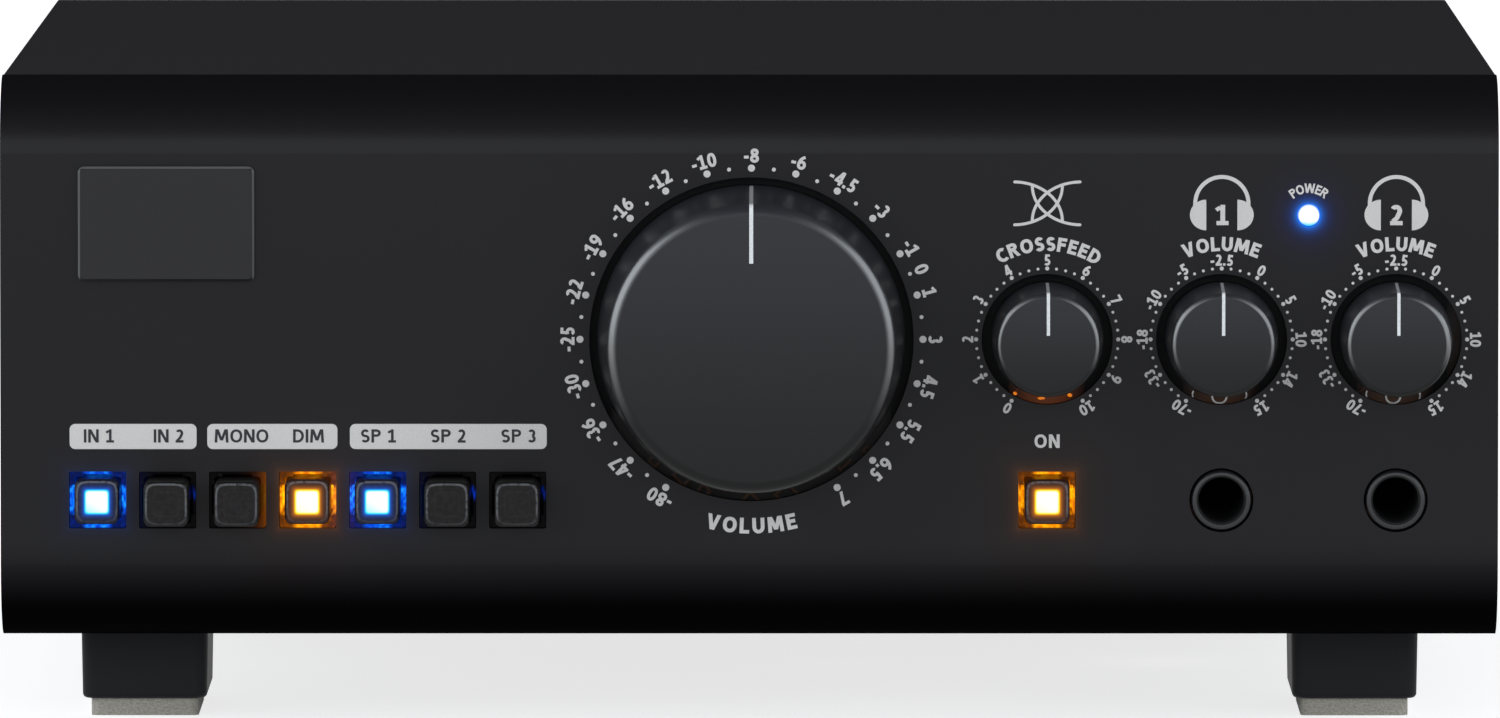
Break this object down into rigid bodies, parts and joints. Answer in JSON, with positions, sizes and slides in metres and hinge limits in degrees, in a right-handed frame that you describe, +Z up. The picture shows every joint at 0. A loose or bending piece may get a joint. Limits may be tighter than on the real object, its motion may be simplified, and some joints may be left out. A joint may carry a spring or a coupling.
{
  "type": "studio monitor controller",
  "caption": "Black desktop monitor controller: rounded front panel, one large and three small knobs, lit square buttons, headphone sockets, rear audio and mains sockets, block feet.",
  "frame": {"origin": "under the middle of the unit's box, on the underside of the foot pads", "axes": "+Z up, front facing -Y, +X to the right seen from the front; knobs and buttons move about or along Y"},
  "size_m": [0.21, 0.25, 0.092],
  "materials": {
    "anodised_black": "satin black anodised sheet with a fine grain",
    "powder_black": "matt black powder coat on steel sheet",
    "foot_plastic": "moulded black plastic, softly rounded",
    "grey_felt": "pressed grey-beige felt pad",
    "zinc_steel": "bright zinc plated steel",
    "black_steel": "blackened steel screw",
    "nickel_brass": "nickel plated brass",
    "clear_plastic": "clear moulded polycarbonate",
    "led_resin": "blue lit clear resin dome",
    "circuit_board": "brown-red lacquered glass laminate",
    "socket_plastic": "black moulded plastic",
    "relay_plastic": "ivory relay case",
    "capacitor_sleeve": "dark blue sleeved aluminium can",
    "bare_aluminium": "bare extruded aluminium",
    "transformer_tape": "iron ring core with copper windings under yellow tape",
    "black_rubber": "black rubber sheet",
    "nickel_shell": "nickel plated die casting",
    "silver_contact": "silver plated contact",
    "rocker_plastic": "glossy black rocker",
    "ribbon_grey": "grey flat cable with black headers",
    "latch_metal": "brushed latch button",
    "knob_black": "satin black moulded knob",
    "pointer_white": "white inlaid pointer line",
    "smoked_plastic": "smoked translucent cap"
  },
  "bodies": {
    "case": {"amplifier_and_regulator_chips": "socket_plastic", "badge_plate": "anodised_black", "base_tray": "powder_black", "board_screws": "zinc_steel", "board_spacers": "nickel_brass", "capacitors": "capacitor_sleeve", "case_screws": "black_steel", "contact_pins": "silver_contact", "feet": "foot_plastic", "foot_pads": "grey_felt", "foot_screws": "zinc_steel", "front_board": "circuit_board", "front_panel": "anodised_black", "fuse_drawer": "socket_plastic", "headphone_sockets": "socket_plastic", "heatsink": "bare_aluminium", "input_sockets": "nickel_shell", "light_shield": "socket_plastic", "main_board": "circuit_board", "mains_inlet": "socket_plastic", "output_sockets": "nickel_shell", "phono_housings": "socket_plastic", "phono_shells": "nickel_shell", "potentiometers": "zinc_steel", "power_board": "circuit_board", "power_led": "led_resin", "rear_board": "circuit_board", "rear_panel": "powder_black", "rear_screws": "black_steel", "relays": "relay_plastic", "ribbon_cable": "ribbon_grey", "rocker_frame": "socket_plastic", "switch_housings": "clear_plastic", "top_cover": "powder_black", "transformer": "transformer_tape", "transformer_fixing": "zinc_steel", "transformer_pads": "black_rubber"},
    "main_volume": {"main_knob": "knob_black", "main_pointer": "pointer_white", "main_shaft": "zinc_steel"},
    "crossfeed_control": {"crossfeed_knob": "knob_black", "crossfeed_pointer": "pointer_white", "crossfeed_shaft": "zinc_steel"},
    "phones_1_volume": {"phones_1_knob": "knob_black", "phones_1_pointer": "pointer_white", "phones_1_shaft": "zinc_steel"},
    "phones_2_volume": {"phones_2_knob": "knob_black", "phones_2_pointer": "pointer_white", "phones_2_shaft": "zinc_steel"},
    "rocker": {"power_rocker": "rocker_plastic"},
    "latch_left": {"input_latch_left": "latch_metal"},
    "latch_right": {"input_latch_right": "latch_metal"},
    "in_1_key": {"in_1_button": "smoked_plastic"},
    "in_2_key": {"in_2_button": "smoked_plastic"},
    "mono_key": {"mono_button": "smoked_plastic"},
    "dim_key": {"dim_button": "smoked_plastic"},
    "speaker_1_key": {"speaker_1_button": "smoked_plastic"},
    "speaker_2_key": {"speaker_2_button": "smoked_plastic"},
    "speaker_3_key": {"speaker_3_button": "smoked_plastic"},
    "crossfeed_on_key": {"crossfeed_on_button": "smoked_plastic"}
  },
  "joints": [
    {"name": "main_volume_turn", "type": "hinge", "parent": "case", "child": "main_volume", "pos_m": [0.0003, -0.105, 0.0554], "axis": [0, 1, 0], "range_deg": [-150, 150]},
    {"name": "crossfeed_control_turn", "type": "hinge", "parent": "case", "child": "crossfeed_control", "pos_m": [0.04175, -0.105, 0.0554], "axis": [0, 1, 0], "range_deg": [-150, 150]},
    {"name": "phones_1_volume_turn", "type": "hinge", "parent": "case", "child": "phones_1_volume", "pos_m": [0.0662, -0.105, 0.0554], "axis": [0, 1, 0], "range_deg": [-150, 150]},
    {"name": "phones_2_volume_turn", "type": "hinge", "parent": "case", "child": "phones_2_volume", "pos_m": [0.09065, -0.105, 0.0554], "axis": [0, 1, 0], "range_deg": [-150, 150]},
    {"name": "in_1_press", "type": "slide", "parent": "case", "child": "in_1_key", "axis": [0, 1, 0], "range_m": [-0.0045, 0.0005]},
    {"name": "in_2_press", "type": "slide", "parent": "case", "child": "in_2_key", "axis": [0, 1, 0], "range_m": [0, 0.005]},
    {"name": "mono_press", "type": "slide", "parent": "case", "child": "mono_key", "axis": [0, 1, 0], "range_m": [0, 0.005]},
    {"name": "dim_press", "type": "slide", "parent": "case", "child": "dim_key", "axis": [0, 1, 0], "range_m": [-0.0045, 0.0005]},
    {"name": "speaker_1_press", "type": "slide", "parent": "case", "child": "speaker_1_key", "axis": [0, 1, 0], "range_m": [-0.0045, 0.0005]},
    {"name": "speaker_2_press", "type": "slide", "parent": "case", "child": "speaker_2_key", "axis": [0, 1, 0], "range_m": [0, 0.005]},
    {"name": "speaker_3_press", "type": "slide", "parent": "case", "child": "speaker_3_key", "axis": [0, 1, 0], "range_m": [0, 0.005]},
    {"name": "crossfeed_on_press", "type": "slide", "parent": "case", "child": "crossfeed_on_key", "axis": [0, 1, 0], "range_m": [-0.0045, 0.0005]},
    {"name": "rocker_tilt", "type": "hinge", "parent": "case", "child": "rocker", "pos_m": [0.064, 0.114, 0.072], "axis": [-1, 0, 0], "range_deg": [0, 24]},
    {"name": "latch_left_press", "type": "slide", "parent": "case", "child": "latch_left", "axis": [0, -1, 0], "range_m": [0, 0.0015], "stiffness_N_per_m": 500, "springref_m": -0.001},
    {"name": "latch_right_press", "type": "slide", "parent": "case", "child": "latch_right", "axis": [0, -1, 0], "range_m": [0, 0.0015], "stiffness_N_per_m": 500, "springref_m": -0.001}
  ]
}
